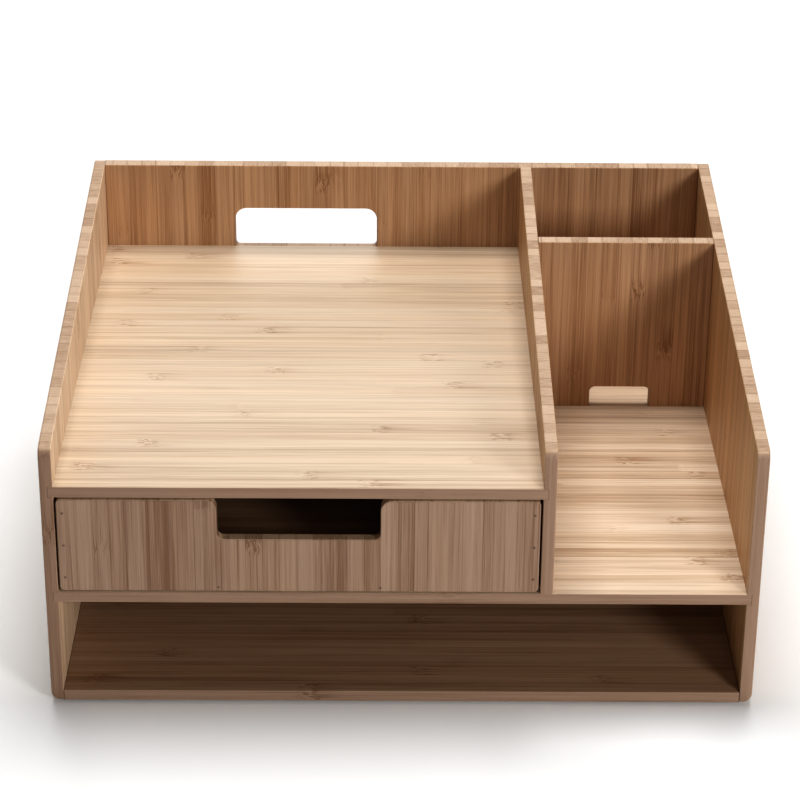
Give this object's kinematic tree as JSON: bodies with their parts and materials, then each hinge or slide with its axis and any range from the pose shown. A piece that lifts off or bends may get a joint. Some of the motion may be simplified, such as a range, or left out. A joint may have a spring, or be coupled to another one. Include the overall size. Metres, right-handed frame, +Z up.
{
  "type": "desk organizer",
  "caption": "Bamboo desk organizer: sloped case with a paper tray over a pull-out drawer, an open bay below, a stationery bay and a rear compartment.",
  "frame": {"origin": "on the supporting surface, under the middle of the case", "axes": "+X to the user's right along the width, +Y to the back panel, +Z up"},
  "size_m": [0.4, 0.34, 0.1969],
  "materials": {
    "bamboo_case": "satin lacquer, carbonised side-pressed bamboo",
    "bamboo_shelf": "satin lacquer, lighter side-pressed bamboo",
    "bamboo_drawer_front": "satin lacquer, carbonised side-pressed bamboo",
    "bamboo_drawer_box": "satin lacquer, side-pressed bamboo",
    "steel_brad": "dull bronzed steel",
    "rubber_foot": "matte black rubber"
  },
  "bodies": {
    "case": {"left_side": "bamboo_case", "right_side": "bamboo_case", "back_panel": "bamboo_case", "bottom_panel": "bamboo_shelf", "mid_shelf": "bamboo_shelf", "upper_shelf": "bamboo_shelf", "middle_divider": "bamboo_case", "cross_divider": "bamboo_case", "foot_front_left": "rubber_foot", "foot_front_right": "rubber_foot", "foot_back_left": "rubber_foot", "foot_back_right": "rubber_foot", "left_side_brads": "steel_brad", "right_side_brads": "steel_brad", "back_panel_brads": "steel_brad", "middle_divider_brads": "steel_brad"},
    "drawer": {"drawer_front": "bamboo_drawer_front", "drawer_left_side": "bamboo_drawer_box", "drawer_right_side": "bamboo_drawer_box", "drawer_back": "bamboo_drawer_box", "drawer_bottom": "bamboo_drawer_box", "drawer_front_brads": "steel_brad", "drawer_box_brads": "steel_brad"}
  },
  "joints": [
    {"name": "drawer_slide", "type": "slide", "parent": "case", "child": "drawer", "axis": [0, -1, 0], "range_m": [0, 0.25]}
  ]
}
